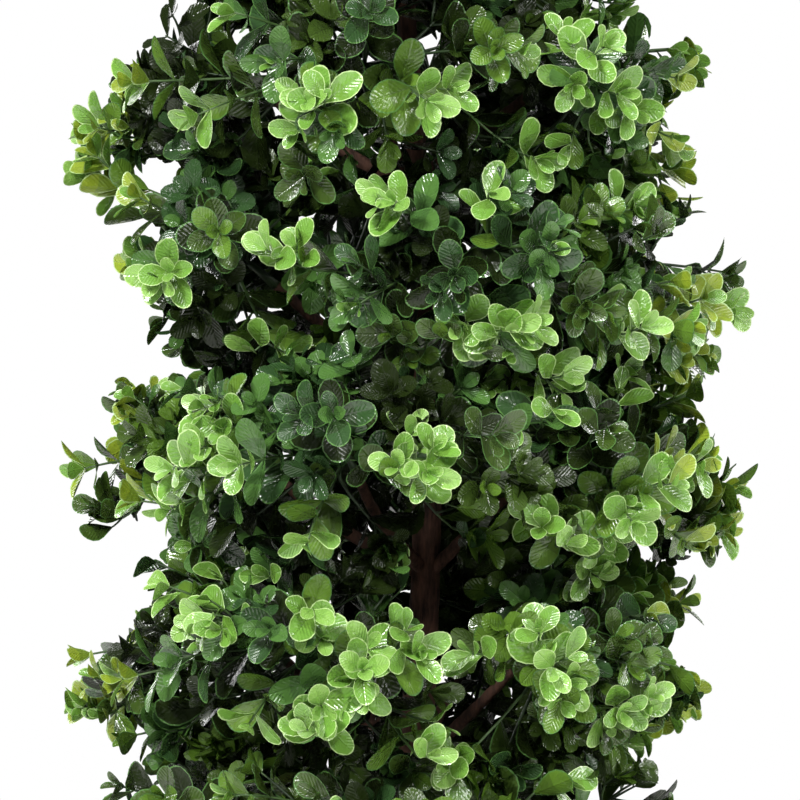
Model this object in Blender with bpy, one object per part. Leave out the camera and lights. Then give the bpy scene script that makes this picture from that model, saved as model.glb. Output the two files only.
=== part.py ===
"""An artificial boxwood column that stands in a plain round pot.

Metres, +Z up. The origin is the middle of the pot's flat underside, and the front is -Y.
The crown is rings of foliage one above another, with a rounded tuft on the trunk's tip.
Each ring is four masses, and each mass is carried by a bough of its own.
"""

import math
import random

import bmesh
import bpy
from mathutils import Matrix, Vector
from mathutils.bvhtree import BVHTree

UP = Vector((0, 0, 1))
GAP = 0.0003

# Pot and what fills it
POT_HEIGHT = 0.155
POT_RIM_RADIUS = 0.096
POT_FOOT_RADIUS = 0.070
POT_WALL = 0.0035
POT_FLOOR = 0.005
POT_BAND_HEIGHT = 0.024
POT_BAND_STEP = 0.0035
POT_CHAMFER = 0.002
POT_STEPS = 32
FILL_TOP = 0.137
FILL_FALL = 0.007
FILL_SEAT_RADIUS = 0.030

# Trunk, a bark-covered stem with a slight bend
TRUNK_TOP = 0.790
TRUNK_FOOT_RADIUS = 0.0100
TRUNK_TIP_RADIUS = 0.0042
TRUNK_FLARE = 0.0065
TRUNK_FLARE_HEIGHT = 0.014
TRUNK_SWAY = 0.014
TRUNK_SIDES = 10
TRUNK_RINGS = 14

# Crown: the height of the rings, how each is turned and reaches to the left and to the right,
# and how deep the notch under each ring and the last one's upper notch are on either side
RINGS = 6
MASSES_IN_RING = 4
RING_PITCH = 0.096
FIRST_RING = 0.268
RING_WAVE = 0.008
RING_TILT = 0.005
RING_TURNS = (5, -31, -18, 20, -12, 28)
LEFT_REACH = (0.168, 0.180, 0.176, 0.162, 0.177, 0.166)
RIGHT_REACH = (0.170, 0.162, 0.183, 0.184, 0.164, 0.168)
LEFT_NOTCH = (0.36, 0.22, 0.28, 0.34, 0.12, 0.28, 0.20)
RIGHT_NOTCH = (0.36, 0.32, 0.34, 0.18, 0.24, 0.30, 0.20)
INNER_RADIUS = 0.060
CELL_MARGIN = 0.0010

# Top tuft, a dome
TOP_MIDDLE = 0.818
TOP_HEIGHT = 0.096
TOP_RADIUS = 0.146

# Hollow in the front, low on the right, where the trunk shows
HOLLOW_ANGLE = math.radians(-72)
HOLLOW_RADIUS = 0.115
HOLLOW_HEIGHT = 0.415
HOLLOW_SIZE = 0.031

# Cores, the closed insides of the masses
CORE_MIDDLE = 0.099
CORE_DEPTH = 0.027
CORE_SPREAD = 0.90
CORE_FULLNESS = 0.6
CORE_MARGIN = 0.0035
CORE_SIDES = 6
TOP_CORE = (0.098, 0.098, 0.056)

# Boughs
BOUGH_RISE = 0.046
BOUGH_END_RADIUS = 0.066
BOUGH_DROP = 0.006
BOUGH_RADII = (0.0038, 0.0033, 0.0029, 0.0026)
BOUGH_SIDES = 5
BOUGH_STAGGER = 0.010

# Twigs and leaves, fewer and larger than life
SHOOTS = 6
TOP_SHOOTS = 16
STEM_LENGTH = 0.018
TWIG_RADIUS = 0.0021
TWIG_TIP_RADIUS = 0.0018
LEAF_LENGTHS = (0.044, 0.040)
LEAF_WIDTH = 0.70
LEAF_THICKNESS = 0.07
LEAF_SPREAD = math.radians(54)
LEAF_SHOULDER = 0.14
LEAF_CUP = 0.10
LEAF_SINK = 0.0012
LEAF_STAGGER = 0.0045
LEAF_BEYOND_TIP = 0.016
LEAF_TRIES = ((1, 0), (1, 0.6), (1, -0.6), (0.8, 0), (0.8, 1.0), (0.8, -1.0), (0.66, 0.3))
LIMB_CLEARANCE = 0.0012


def material(name, colour, roughness, metallic=0.0):
    """A Principled material with one colour, given as linear red, green and blue."""
    made = bpy.data.materials.new(name)
    made.use_nodes = True
    shader = made.node_tree.nodes["Principled BSDF"]
    shader.inputs["Base Color"].default_value = (*colour, 1)
    shader.inputs["Roughness"].default_value = roughness
    shader.inputs["Metallic"].default_value = metallic
    return made


def finished(name, bm, surface, smooth_angle=None):
    """The bmesh as a named object in the scene, with faces that point outwards."""
    bm.normal_update()
    bmesh.ops.recalc_face_normals(bm, faces=bm.faces)
    mesh = bpy.data.meshes.new(name)
    bm.to_mesh(mesh)
    bm.free()
    mesh.materials.append(surface)
    if smooth_angle is not None:
        mesh.shade_smooth()
        mesh.set_sharp_from_angle(angle=smooth_angle)
    made = bpy.data.objects.new(name, mesh)
    bpy.context.scene.collection.objects.link(made)
    return made


def turned(name, profile, surface):
    """A closed solid turned about Z from (radius, height) points that start and end on the axis."""
    bm = bmesh.new()
    points = [bm.verts.new((radius, 0, height)) for radius, height in profile]
    edges = [bm.edges.new(pair) for pair in zip(points, points[1:])]
    bmesh.ops.spin(
        bm, geom=points + edges, cent=(0, 0, 0), axis=(0, 0, 1),
        angle=math.tau, steps=POT_STEPS, use_merge=True,
    )
    bmesh.ops.remove_doubles(bm, verts=bm.verts, dist=1e-6)
    return finished(name, bm, surface, math.radians(35))


def frames_along(path, radii):
    """One matrix for each point of a path: its place, a twist-free turn and the radius as scale."""
    steps = [b - a for a, b in zip(path, path[1:])]
    ways = [steps[0]] + [a + b for a, b in zip(steps, steps[1:])] + [steps[-1]]
    turn = UP.rotation_difference(ways[0])
    frames = []
    for i, (point, radius) in enumerate(zip(path, radii)):
        if i:
            turn = ways[i - 1].rotation_difference(ways[i]) @ turn
        frames.append(Matrix.LocRotScale(point, turn, Vector((radius, radius, radius))))
    return frames


def limb_mesh(path, radii, sides):
    """A closed tapering tube along a path, as a bmesh."""
    frames = frames_along(path, radii)
    bm = bmesh.new()
    bmesh.ops.create_cone(bm, cap_ends=True, segments=sides, radius1=1, radius2=1, depth=2)
    lower = [v for v in bm.verts if v.co.z < 0]
    upper = [v for v in bm.verts if v.co.z > 0]
    bmesh.ops.transform(bm, matrix=frames[0] @ Matrix.Translation(UP), verts=lower)
    bmesh.ops.transform(bm, matrix=frames[1] @ Matrix.Translation(-UP), verts=upper)
    ends = set(upper)
    end = next(face for face in bm.faces if set(face.verts) == ends)
    for before, after in zip(frames[1:], frames[2:]):
        end = bmesh.ops.extrude_discrete_faces(bm, faces=[end])["faces"][0]
        bmesh.ops.transform(bm, matrix=after @ before.inverted(), verts=end.verts)
    return bm


def curve_points(start, bend, end, count):
    """Points on the quadratic curve that leaves start towards bend and arrives at end."""
    points = []
    for i in range(count):
        t = i / (count - 1)
        points.append(start * (1 - t) ** 2 + bend * 2 * t * (1 - t) + end * t**2)
    return points


def between(a, b, share):
    return a + (b - a) * share


def around(angle, radius, height):
    """The point at this angle and radius about Z."""
    return Vector((radius * math.cos(angle), radius * math.sin(angle), height))


def trunk_middle(height):
    """The trunk's centreline: level at its foot, with one lean and one small counter-bend."""
    share = (height - FILL_TOP) / (TRUNK_TOP - FILL_TOP)
    lean = TRUNK_SWAY * math.sin(math.pi * share) ** 2
    counter = 0.45 * TRUNK_SWAY * math.sin(math.tau * share)
    return Vector((lean, counter, height))


def trunk_radius(height):
    share = (height - FILL_TOP) / (TRUNK_TOP - FILL_TOP)
    flare = TRUNK_FLARE * math.exp(-(height - FILL_TOP) / TRUNK_FLARE_HEIGHT)
    return between(TRUNK_FOOT_RADIUS, TRUNK_TIP_RADIUS, share) + flare


def trunk_heights():
    """Ring heights from the flat cut to the tip, close together at the flare."""
    foot = FILL_TOP + GAP
    return [between(foot, TRUNK_TOP, (i / TRUNK_RINGS) ** 1.5) for i in range(TRUNK_RINGS + 1)]


def trunk_mesh(extra_radius):
    """The trunk, or with extra_radius the room that it needs."""
    heights = trunk_heights()
    path = [trunk_middle(height) for height in heights]
    # The cut at the foot is level, so the path starts straight up.
    path[0] = Vector((path[1].x, path[1].y, path[0].z))
    radii = [trunk_radius(height) + extra_radius for height in heights]
    return limb_mesh(path, radii, TRUNK_SIDES)


def edge_height(ring, angle):
    """The height of the edge under a ring, which waves on its way round and is low on the right."""
    level = FIRST_RING + (ring - 0.5) * RING_PITCH
    wave = math.sin(3 * angle + 2.4 * ring) + 0.4 * math.sin(5 * angle + ring)
    return level + RING_WAVE * wave - RING_TILT * math.cos(angle)


def to_side(left, right, angle):
    """The value at this angle, which passes evenly from the left side's to the right side's."""
    return (right + left) / 2 + (right - left) / 2 * math.cos(angle)


def in_hollow(point):
    middle = around(HOLLOW_ANGLE, HOLLOW_RADIUS, HOLLOW_HEIGHT)
    return (point - middle).length < HOLLOW_SIZE


class Mass:
    """One mass of foliage in a ring: its angle, its height and the space that it keeps to."""

    half_angle = math.pi / MASSES_IN_RING

    def __init__(self, ring, number):
        self.ring = ring
        self.name = f"{ring + 1}_{'abcd'[number]}"
        self.angle = math.radians(RING_TURNS[ring]) + number * 2 * self.half_angle
        self.height = FIRST_RING + ring * RING_PITCH
        self.shoots = SHOOTS + number % 2
        self.rule = random.Random(f"mass {self.name}")

    def levels(self, angle):
        """The lowest and highest height of this mass's space at this angle."""
        floor = edge_height(self.ring, angle) + CELL_MARGIN
        return floor, edge_height(self.ring + 1, angle) - CELL_MARGIN

    def reach(self, angle, height):
        """How far the ring reaches at this angle and height: a lobe with a notch above and below."""
        widest = to_side(LEFT_REACH[self.ring], RIGHT_REACH[self.ring], angle)
        floor, roof = self.levels(angle)
        above = (2 * height - floor - roof) / (roof - floor)
        edge = self.ring + (above > 0)
        notch = to_side(LEFT_NOTCH[edge], RIGHT_NOTCH[edge], angle)
        return widest * (1 - notch * abs(above) ** 3)

    def holds(self, point):
        """True if the point is in this mass's own space."""
        radius = math.hypot(point.x, point.y)
        angle = math.atan2(point.y, point.x)
        off = abs((angle - self.angle + math.pi) % math.tau - math.pi)
        floor, roof = self.levels(angle)
        return (
            floor < point.z < roof
            and off < self.half_angle
            and radius * math.sin(self.half_angle - off) > CELL_MARGIN
            and INNER_RADIUS < radius < self.reach(angle, point.z)
            and not in_hollow(point)
        )

    def bough_path(self):
        """From inside the trunk, up and out to where the mass begins."""
        lift = BOUGH_STAGGER * (self.rule.random() - 0.5)
        end = around(self.angle, BOUGH_END_RADIUS, self.height - BOUGH_DROP)
        start = trunk_middle(end.z - BOUGH_RISE + lift)
        bend = around(self.angle, BOUGH_END_RADIUS * 0.62, between(start.z, end.z, 0.52))
        return curve_points(start, bend, end, len(BOUGH_RADII))

    def targets(self):
        """The shoots' tips, spread evenly over the lobe's outer side."""
        for i in range(self.shoots):
            across = (0.5 + i * 0.618034) % 1 * 2 - 1
            angle = self.angle + across * 0.80 * self.half_angle
            floor, roof = self.levels(angle)
            height = between(floor, roof, between(0.12, 0.88, (i + 0.5) / self.shoots))
            height += self.rule.uniform(-0.004, 0.004)
            yield around(angle, self.reach(angle, height) - LEAF_BEYOND_TIP, height)

    def core(self):
        """The closed inside: a barrel-like ball bent round the trunk, pushed clear of the hollow."""
        bm = bmesh.new()
        bmesh.ops.create_uvsphere(bm, u_segments=CORE_SIDES, v_segments=4, radius=1)
        highest = max(vert.co.y for vert in bm.verts)
        for vert in bm.verts:
            fuller = max(vert.co.xy.length, 0.1) ** -CORE_FULLNESS
            out = vert.co.x * fuller
            up = vert.co.y * fuller / highest
            side = math.copysign(abs(vert.co.z) ** (1 - CORE_FULLNESS), vert.co.z)
            angle = self.angle + side * CORE_SPREAD * self.half_angle
            floor, roof = self.levels(angle)
            height = between(floor + CORE_MARGIN, roof - CORE_MARGIN, (up + 1) / 2)
            vert.co = clear_of_hollow(around(angle, CORE_MIDDLE + out * CORE_DEPTH, height))
        return bm


def clear_of_hollow(point):
    """The point, or where it is in the hollow the nearest point on the hollow's edge."""
    middle = around(HOLLOW_ANGLE, HOLLOW_RADIUS, HOLLOW_HEIGHT)
    off = point - middle
    return middle + off.normalized() * max(off.length, HOLLOW_SIZE)


class TopTuft:
    """The dome of foliage on the trunk's tip."""

    name = "top"

    def __init__(self):
        self.rule = random.Random("mass top")

    def holds(self, point):
        """True if the point is inside the dome and above the last ring."""
        side = math.hypot(point.x, point.y) / TOP_RADIUS
        above = (point.z - TOP_MIDDLE) / TOP_HEIGHT
        floor = edge_height(RINGS, math.atan2(point.y, point.x)) + CELL_MARGIN
        return side**2 + max(above, 0) ** 2 < 1 and point.z > floor

    def targets(self):
        for i in range(TOP_SHOOTS):
            up = (i + 0.3) / TOP_SHOOTS
            angle = i * math.radians(137.5) + self.rule.uniform(-0.2, 0.2)
            out = math.sqrt(1 - up**2)
            side = (TOP_RADIUS - LEAF_BEYOND_TIP) * out
            yield around(angle, side, TOP_MIDDLE + (TOP_HEIGHT - LEAF_BEYOND_TIP) * up)

    def core(self):
        """The closed inside: a dome that stays above the last ring."""
        bm = bmesh.new()
        bmesh.ops.create_icosphere(bm, subdivisions=2, radius=1)
        bmesh.ops.scale(bm, vec=TOP_CORE, verts=bm.verts)
        bmesh.ops.translate(bm, vec=(0.004, -0.006, TOP_MIDDLE), verts=bm.verts)
        for vert in bm.verts:
            floor = edge_height(RINGS, math.atan2(vert.co.y, vert.co.x)) + CORE_MARGIN
            vert.co.z = max(vert.co.z, floor, TRUNK_TOP + CORE_MARGIN)
        return bm


def leaf_mesh(root, along, face_way, length):
    """A closed leaf of eight faces: root, two shoulders, tip and the middle of either face."""
    along = along.normalized()
    across = face_way.cross(along).normalized()
    upper = along.cross(across)
    width = length * LEAF_WIDTH
    bm = bmesh.new()
    bmesh.ops.create_uvsphere(bm, u_segments=4, v_segments=2, radius=1)
    for vert in bm.verts:
        x, y, z = vert.co
        out = length * (0.5 + 0.5 * x + LEAF_SHOULDER * (1 - x * x))
        up = length * (LEAF_THICKNESS / 2 * z + LEAF_CUP * y * y)
        vert.co = root + along * out + across * (width / 2 * y) + upper * up
    return bm


def fused(name, bodies, surface):
    """One closed body from overlapping ones, by one Boolean union. Scraps and sealed hollows go."""
    pieces = [finished(f"{name}_piece_{i}", bm, surface) for i, bm in enumerate(bodies)]
    base = pieces.pop(0)
    group = bpy.data.collections.new(name + "_pieces")
    bpy.context.scene.collection.children.link(group)
    for piece in pieces:
        bpy.context.scene.collection.objects.unlink(piece)
        group.objects.link(piece)
    union = base.modifiers.new("Fuse", "BOOLEAN")
    union.operation = "UNION"
    union.operand_type = "COLLECTION"
    union.collection = group
    union.solver = "MANIFOLD"
    graph = bpy.context.evaluated_depsgraph_get()
    bm = bmesh.new()
    bm.from_object(base, graph)
    for piece in [base, *pieces]:
        bpy.data.objects.remove(piece)
    bpy.data.collections.remove(group)
    keep_largest(bm)
    return finished(name, bm, surface)


def keep_largest(bm):
    """Deletes all but the shell with the most faces."""
    left = set(bm.faces)
    shells = []
    while left:
        shell = set()
        edge = [left.pop()]
        while edge:
            face = edge.pop()
            shell.add(face)
            near = {other for e in face.edges for other in e.link_faces} & left
            left -= near
            edge.extend(near)
        shells.append(shell)
    largest = max(shells, key=len)
    loose = [face for shell in shells if shell is not largest for face in shell]
    bmesh.ops.delete(bm, geom=loose, context="FACES")


class Limbs:
    """The trunk and boughs as stretches of tube, to keep leaves and twigs off them."""

    def __init__(self):
        self.stretches = []

    def add(self, path, radii):
        for a, b, ra, rb in zip(path, path[1:], radii, radii[1:]):
            self.stretches.append((a, b, max(ra, rb)))

    def clear_of(self, point):
        """True if no limb is nearer to the point than the clearance."""
        for a, b, radius in self.stretches:
            way = b - a
            share = min(1, max(0, (point - a).dot(way) / way.length_squared))
            if (point - a - way * share).length < radius + LIMB_CLEARANCE:
                return False
        return True


def leaves_on(path, bare, rule):
    """(place, way, turn, length) of a shoot's leaves, in crossed pairs beyond its bare part."""
    turn = rule.uniform(0, math.tau)
    stagger = LEAF_STAGGER / (path[-1] - path[0]).length
    for i, length in enumerate(LEAF_LENGTHS):
        share = between(bare, 1, i / (len(LEAF_LENGTHS) - 1))
        for half_turn, back in ((0, 0), (math.pi, stagger)):
            place, way = point_on(path, share - back)
            yield place, way, turn + half_turn, length * rule.uniform(0.9, 1.08)
        turn += math.pi / 2


def side_at(way, turn):
    """A direction square to way, at this turn about it."""
    side = way.orthogonal().normalized()
    side.rotate(Matrix.Rotation(turn, 3, way))
    return side


def point_on(path, share):
    """The point and the direction at this share of a path of evenly spaced points."""
    place = min(share * (len(path) - 1), len(path) - 1.001)
    i = int(place)
    way = path[i + 1] - path[i]
    return path[i] + way * (place - i), way.normalized()


def outside(tree, point):
    """True if the point is outside the closed shape that the tree holds."""
    nearest, normal, _, _ = tree.find_nearest(point)
    return (point - nearest).dot(normal) > 0


def shoot_paths(mass, fork, stem_way):
    """The shoots' paths from the fork to the mass's targets, each with one bend."""
    for target in mass.targets():
        bend = between(fork, target, 0.5) + stem_way * 0.008
        path = curve_points(fork, bend, target, 3)
        if all(mass.holds(point) for point in path[1:]):
            yield path


def foliage(mass, stem_start, stem_way, stem_radius, limbs, surface):
    """The mass as one solid: a core, the stem that enters it, twigs and the leaves on them."""
    core = mass.core()
    core.normal_update()
    bmesh.ops.recalc_face_normals(core, faces=core.faces)
    core_tree = BVHTree.FromBMesh(core)
    fork = stem_start + stem_way * STEM_LENGTH
    bodies = [core, limb_mesh([stem_start, fork], [stem_radius, TWIG_RADIUS], BOUGH_SIDES)]
    paths = list(shoot_paths(mass, fork, stem_way))
    twigs = [limb_mesh(path, [TWIG_RADIUS, TWIG_RADIUS, TWIG_TIP_RADIUS], 3) for path in paths]
    twig_trees = [BVHTree.FromBMesh(twig) for twig in twigs]
    leaf_trees = []
    for i, path in enumerate(paths):
        leafless = len(leaf_trees)
        others = twig_trees[:i] + twig_trees[i + 1:]
        steps = (step / 24 for step in range(25))
        bare = next((step for step in steps if outside(core_tree, point_on(path, step)[0])), 1)
        for place, way, turn, length in leaves_on(path, bare, mass.rule):
            spread = LEAF_SPREAD + mass.rule.uniform(-0.12, 0.12)
            for size, twist in LEAF_TRIES:
                out = way * math.cos(spread) + side_at(way, turn + twist) * math.sin(spread)
                root = place - out * LEAF_SINK
                leaf = leaf_mesh(root, out, way, length * size)
                tree = BVHTree.FromBMesh(leaf)
                blade = [v.co for v in leaf.verts if (v.co - root).length > length / 5]
                if (
                    all(mass.holds(point) and limbs.clear_of(point) for point in blade)
                    and all(outside(core_tree, point) for point in blade)
                    and not any(tree.overlap(other) for other in others + leaf_trees)
                ):
                    bodies.append(leaf)
                    leaf_trees.append(tree)
                    break
                leaf.free()
        if len(leaf_trees) > leafless:
            bodies.append(twigs[i])
    return fused(f"foliage_{mass.name}", bodies, surface)


def pot_profile():
    """The pot's section, from the middle of its underside, up the outside and down the inside."""
    slope = (POT_RIM_RADIUS - POT_BAND_STEP - POT_FOOT_RADIUS) / (POT_HEIGHT - POT_BAND_HEIGHT)
    band_foot = POT_HEIGHT - POT_BAND_HEIGHT
    wall_top = POT_FOOT_RADIUS + slope * band_foot
    return (
        (0, 0),
        (POT_FOOT_RADIUS - POT_CHAMFER, 0),
        (POT_FOOT_RADIUS, POT_CHAMFER),
        (wall_top, band_foot),
        (wall_top + POT_BAND_STEP, band_foot + POT_CHAMFER),
        (POT_RIM_RADIUS + POT_BAND_STEP / 2, POT_HEIGHT - POT_CHAMFER),
        (POT_RIM_RADIUS + POT_BAND_STEP / 2 - POT_CHAMFER, POT_HEIGHT),
        (POT_RIM_RADIUS - POT_WALL, POT_HEIGHT),
        (inner_radius(POT_HEIGHT - POT_CHAMFER), POT_HEIGHT - POT_CHAMFER),
        (inner_radius(POT_FLOOR), POT_FLOOR),
        (0, POT_FLOOR),
    )


def inner_radius(height):
    """The radius of the pot's inside at this height."""
    slope = (POT_RIM_RADIUS - POT_BAND_STEP - POT_FOOT_RADIUS) / (POT_HEIGHT - POT_BAND_HEIGHT)
    return POT_FOOT_RADIUS + slope * height - POT_WALL


def fill_profile():
    """The fill's section: level under the trunk, falling a little towards the pot's wall."""
    bottom = POT_FLOOR + GAP
    edge = FILL_TOP - FILL_FALL
    return (
        (0, bottom),
        (inner_radius(bottom) - GAP, bottom),
        (inner_radius(edge) - GAP, edge),
        (between(FILL_SEAT_RADIUS, inner_radius(edge), 0.5), FILL_TOP - FILL_FALL / 3),
        (FILL_SEAT_RADIUS, FILL_TOP),
        (0, FILL_TOP),
    )


def main():
    for old in list(bpy.data.objects):
        bpy.data.objects.remove(old)

    pot_plastic = material("moulded pot plastic", (0.030, 0.031, 0.033), 0.45)
    pot_soil = material("potting fill", (0.045, 0.028, 0.018), 0.95)
    bark = material("stem bark", (0.085, 0.040, 0.030), 0.75)
    boxwood = material("boxwood foliage", (0.075, 0.190, 0.040), 0.40)

    turned("pot", pot_profile(), pot_plastic)
    turned("pot_fill", fill_profile(), pot_soil)
    finished("trunk", trunk_mesh(0), bark, math.radians(50))
    room = finished("trunk_room", trunk_mesh(GAP), bark)
    room.hide_render = True
    room.display_type = "WIRE"

    masses = [Mass(ring, number) for ring in range(RINGS) for number in range(MASSES_IN_RING)]
    paths = {mass: mass.bough_path() for mass in masses}
    limbs = Limbs()
    heights = trunk_heights()
    limbs.add([trunk_middle(h) for h in heights], [trunk_radius(h) for h in heights])
    for path in paths.values():
        limbs.add(path, BOUGH_RADII)

    for mass, path in paths.items():
        bough = finished(
            f"bough_{mass.name}", limb_mesh(path, BOUGH_RADII, BOUGH_SIDES), bark, math.radians(60)
        )
        seat = bough.modifiers.new("Seat on the trunk", "BOOLEAN")
        seat.operation = "DIFFERENCE"
        seat.object = room
        seat.solver = "EXACT"
        way = (path[-1] - path[-2]).normalized()
        foliage(mass, path[-1] + way * GAP, way, BOUGH_RADII[-1], limbs, boxwood)

    tip = trunk_middle(TRUNK_TOP)
    way = (tip - trunk_middle(heights[-2])).normalized()
    foliage(TopTuft(), tip + way * GAP, way, TRUNK_TIP_RADIUS, limbs, boxwood)


main()
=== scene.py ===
"""Looks of an artificial boxwood column that stands in a plain round pot.

A Blender add-on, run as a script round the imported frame. Metres, +Z up, the front is -Y.
Limbs, masses and main shoots follow the same rule as the solids, carried on to side twigs and
leaves at their real size.
"""

import math
import random

import bmesh
import bpy
import numpy as np
from mathutils import Matrix, Vector, noise
from mathutils.geometry import intersect_point_line


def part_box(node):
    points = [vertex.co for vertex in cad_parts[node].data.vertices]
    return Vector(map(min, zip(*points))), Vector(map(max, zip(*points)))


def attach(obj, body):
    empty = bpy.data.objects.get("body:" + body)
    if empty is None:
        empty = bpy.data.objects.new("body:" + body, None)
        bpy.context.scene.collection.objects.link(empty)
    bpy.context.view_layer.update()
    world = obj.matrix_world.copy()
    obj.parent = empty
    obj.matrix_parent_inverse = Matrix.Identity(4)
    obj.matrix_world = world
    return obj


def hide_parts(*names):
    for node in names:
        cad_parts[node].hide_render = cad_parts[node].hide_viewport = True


bl_info = {
    "name": "Boxwood column",
    "version": (1, 0, 0),
    "blender": (4, 5, 0),
    "location": "View3D > Sidebar > Boxwood",
    "description": "Builds the looks of an artificial boxwood column round its packed frame",
    "category": "Object",
}

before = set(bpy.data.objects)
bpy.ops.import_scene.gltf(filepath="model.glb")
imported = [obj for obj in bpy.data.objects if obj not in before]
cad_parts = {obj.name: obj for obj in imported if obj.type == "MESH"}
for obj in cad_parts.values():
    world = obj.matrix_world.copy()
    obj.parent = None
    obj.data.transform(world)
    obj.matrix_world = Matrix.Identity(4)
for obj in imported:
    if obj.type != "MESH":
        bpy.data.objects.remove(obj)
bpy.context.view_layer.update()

UP = Vector((0, 0, 1))

# The rule of the solids: pot, fill and trunk
FILL_TOP = 0.137
FILL_FALL = 0.007
FILL_SEAT_RADIUS = 0.030
TRUNK_TOP = 0.790
TRUNK_FOOT_RADIUS = 0.0100
TRUNK_TIP_RADIUS = 0.0042
TRUNK_FLARE = 0.0065
TRUNK_FLARE_HEIGHT = 0.014
TRUNK_SWAY = 0.014

# The rule of the solids: rings, masses and boughs
RINGS = 6
MASSES_IN_RING = 4
RING_PITCH = 0.096
FIRST_RING = 0.268
RING_WAVE = 0.008
RING_TILT = 0.005
RING_TURNS = (5, -31, -18, 20, -12, 28)
LEFT_REACH = (0.168, 0.180, 0.176, 0.162, 0.177, 0.166)
RIGHT_REACH = (0.170, 0.162, 0.183, 0.184, 0.164, 0.168)
LEFT_NOTCH = (0.36, 0.22, 0.28, 0.34, 0.12, 0.28, 0.20)
RIGHT_NOTCH = (0.36, 0.32, 0.34, 0.18, 0.24, 0.30, 0.20)
INNER_RADIUS = 0.060
TOP_MIDDLE = 0.818
TOP_HEIGHT = 0.096
TOP_RADIUS = 0.146
HOLLOW_ANGLE = math.radians(-72)
HOLLOW_RADIUS = 0.115
HOLLOW_HEIGHT = 0.415
HOLLOW_SIZE = 0.031
BOUGH_RISE = 0.046
BOUGH_END_RADIUS = 0.066
BOUGH_DROP = 0.006
BOUGH_RADII = (0.0038, 0.0033, 0.0029, 0.0026)
BOUGH_STAGGER = 0.010
SHOOTS = 6
TOP_SHOOTS = 16
STEM_LENGTH = 0.018
LEAF_BEYOND_TIP = 0.016
# Turns of the golden ratio spread the tips evenly: across a mass, and round the top tuft.
GOLDEN_SHARE = 0.618034
GOLDEN_ANGLE = math.radians(137.5)

# Kinds of leaf: five ages, youngest first, the oldest, dark, the near-black painted shade of leaves deep in
# the crown; then backlit olive, painted backlight, and two cool greens, with roughness and specular
LEAF_KINDS = (
    ("lime", 0.25, 0.8), ("spring", 0.22, 0.7), ("mid", 0.19, 0.55), ("deep", 0.18, 0.55),
    ("dark", 0.22, 0.3), ("olive", 0.26, 0.5), ("cool_mid", 0.17, 0.6), ("cool_deep", 0.16, 0.6),
)
# Which kind each kind's heart leans to, a darker one, as painted shade at each leaf's foot; and which kinds
# have the pale rim of young leaves, partly the moulding's pale edge and partly a painted edge highlight
SHADED_HEART_TOWARDS = (1, 2, 3, 4, 4, 2, 7, 4)
YOUNG_KINDS = (0, 1, 5)
BACKLIT_OLIVE = 5
# How many places after mid and deep green the cool ones stand
TO_COOL = 4
# The ages at which the kind changes, and how far out and how often a young leaf is backlit olive, which is
# painted backlight on the sides of the crown
KIND_AGES = (0.55, 1.25, 2.1, 3.1)
BACKLIT_FROM = 0.120
BACKLIT_SHARE = 0.45

# Ages of outer sprays, a third of them young; the age added deeper in and the age of the shade sprays are
# painted shade, which gives the crown's depths its deep and near-black greens
SPRAY_AGES = (0.0, 0.0, 0.6, 0.9, 1.5, 2.1)
DEEPER_SHADE_AGE = 1.3
PAINTED_SHADE_AGE = 3.0

# Numbers of further shoots: outer ones on the left and on the right, deeper ones at the front, where
# openings show the stems, and at the back, and both in the top tuft
OUTER_SHOOTS = (5, 9)
DEEPER_SHOOTS = (13, 17)
TOP_FURTHER_SHOOTS = (24, 26)
# Least and greatest depths of their tips, in turn: a third of the outer ones stand proud
OUTER_DEPTHS = ((-0.004, 0.003), (0.010, 0.020), (0.020, 0.034))
DEEPER_DEPTHS = ((0.056, 0.080), (0.034, 0.056), (0.034, 0.056))
# Each takes the place with the most room out of this many
TRIES = 10

# The share of its side twigs that a shoot has: on the left, where the sky shows between sprays, and on
# the right, and for those sprays that have a place of their own
OUTER_FULLNESS = (0.10, 0.28)
DEEPER_FULLNESS = (0.42, 0.66)
PLACED_FULLNESS = 0.44
# Where the pairs of side twigs fork, as a share of the shoot, and their length as a share of the longest
FORKS = ((0.48, 1.0), (0.66, 0.8), (0.82, 0.55))
# The bare part of a main shoot, a further shoot and a side twig, from its foot
MAIN_BARE = 0.42
FURTHER_BARE = 0.38
SIDE_BARE = 0.30
# The pairs of a tip's rosette: distance from the tip, size, spread in degrees, and how much older
ROSETTE = ((0.0, 0.58, 28, 0.0), (0.0016, 0.84, 50, 0.3))
# The pairs below it: how much older the first is, and each next one
FIRST_PAIR_AGE = 0.6
PAIR_AGE = 0.65
# Sizes and turns at which a leaf is tried until it fits
FITS = ((1, 0), (0.9, 0.5), (0.9, -0.5), (0.75, 0))

# A leaf's grid: the shares of its length at which the rows meet the outline and the midrib
OUTER_ROWS = ((0, 0.18, 0.36, 0.54, 0.72, 0.87, 0.955), (0, 0.18, 0.36, 0.54, 0.75, 0.965, 1.0))
INNER_ROWS = ((0, 0.30, 0.58, 0.80, 0.95), (0, 0.30, 0.60, 0.88, 1.0))
LEAF_RIM = 0.075
LEAF_WIDEST = 0.62
# The outer leaves' widths, cups and recurves, times the settings
OUTER_LEAVES = ((1.0, 1.0, 1.0), (0.92, 1.5, 0.2), (1.08, 0.5, 1.7), (0.88, 1.1, -0.9))


def metres(*rows):
    """Rows of whole millimetres as rows of metres."""
    return [[value / 1000 for value in row] for row in rows]


# Sprays of bright young leaves that stand out on the front, by the (x, z) of their tips
FRONT_SPRAYS = metres(
    (-43, 634), (43, 594), (-85, 523), (53, 526), (78, 504), (117, 528), (13, 458), (81, 422), (-42, 392),
    (-18, 364), (-40, 334), (13, 321), (119, 342), (-110, 460), (-64, 565), (74, 364), (-90, 389),
    (-122, 336), (132, 452), (99, 664),
)
# They are looked for from this radius inwards, with room for a leaf before the tip.
FRONT_RADIUS = 0.185
FRONT_ROOM = 0.009

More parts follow.
